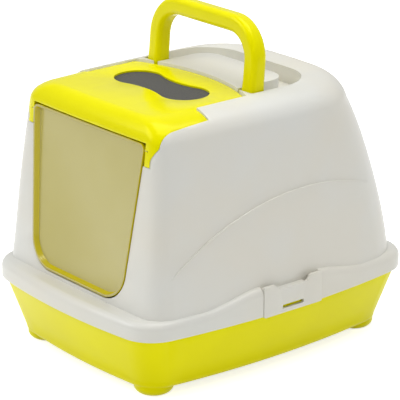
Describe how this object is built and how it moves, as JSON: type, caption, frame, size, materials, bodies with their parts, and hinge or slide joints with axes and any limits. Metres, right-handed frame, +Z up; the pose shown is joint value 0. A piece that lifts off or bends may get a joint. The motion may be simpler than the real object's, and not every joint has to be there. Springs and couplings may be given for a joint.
{
  "type": "hooded cat litter box",
  "caption": "Covered litter box with a drafted tray, a lift-off hood, a flip-up front lid, a see-through swing door, side clips and a carry handle.",
  "frame": {"origin": "centre of the footprint on the floor, under the four feet", "axes": "+Z up, -Y towards the front, where the doorway is, +X to the right of someone who faces the doorway"},
  "size_m": [0.392, 0.502, 0.4765],
  "materials": {
    "yellow_plastic": "gloss",
    "white_plastic": "satin",
    "tinted_plastic": "gloss",
    "carbon_foam": "matt open foam"
  },
  "bodies": {
    "tray": {"base_tray": "yellow_plastic"},
    "hood": {"hood": "white_plastic"},
    "lid": {"flip_lid": "yellow_plastic", "filter_frame": "yellow_plastic", "carbon_filter": "carbon_foam"},
    "flap": {"door_flap": "tinted_plastic"},
    "handle": {"carry_handle": "yellow_plastic"},
    "left_clip": {"clip_left": "white_plastic"},
    "right_clip": {"clip_right": "white_plastic"}
  },
  "joints": [
    {"name": "hood_lift", "type": "slide", "parent": "tray", "child": "hood", "axis": [0, 0, 1], "range_m": [0, 0.15]},
    {"name": "lid_hinge", "type": "hinge", "parent": "hood", "child": "lid", "pos_m": [0, -0.028, 0.3735], "axis": [-1, 0, 0], "range_deg": [0, 90]},
    {"name": "flap_swing", "type": "hinge", "parent": "lid", "child": "flap", "pos_m": [0, -0.19291, 0.34], "axis": [1, 0, 0], "range_deg": [-75, 75]},
    {"name": "handle_fold", "type": "hinge", "parent": "hood", "child": "handle", "pos_m": [0, 0.0045, 0.371], "axis": [-1, 0, 0], "range_deg": [0, 85]},
    {"name": "left_clip_hinge", "type": "hinge", "parent": "hood", "child": "left_clip", "pos_m": [-0.1896, 0, 0.1294], "axis": [0, 1, 0], "range_deg": [0, 50]},
    {"name": "right_clip_hinge", "type": "hinge", "parent": "hood", "child": "right_clip", "pos_m": [0.1896, 0, 0.1294], "axis": [0, -1, 0], "range_deg": [0, 50]}
  ]
}
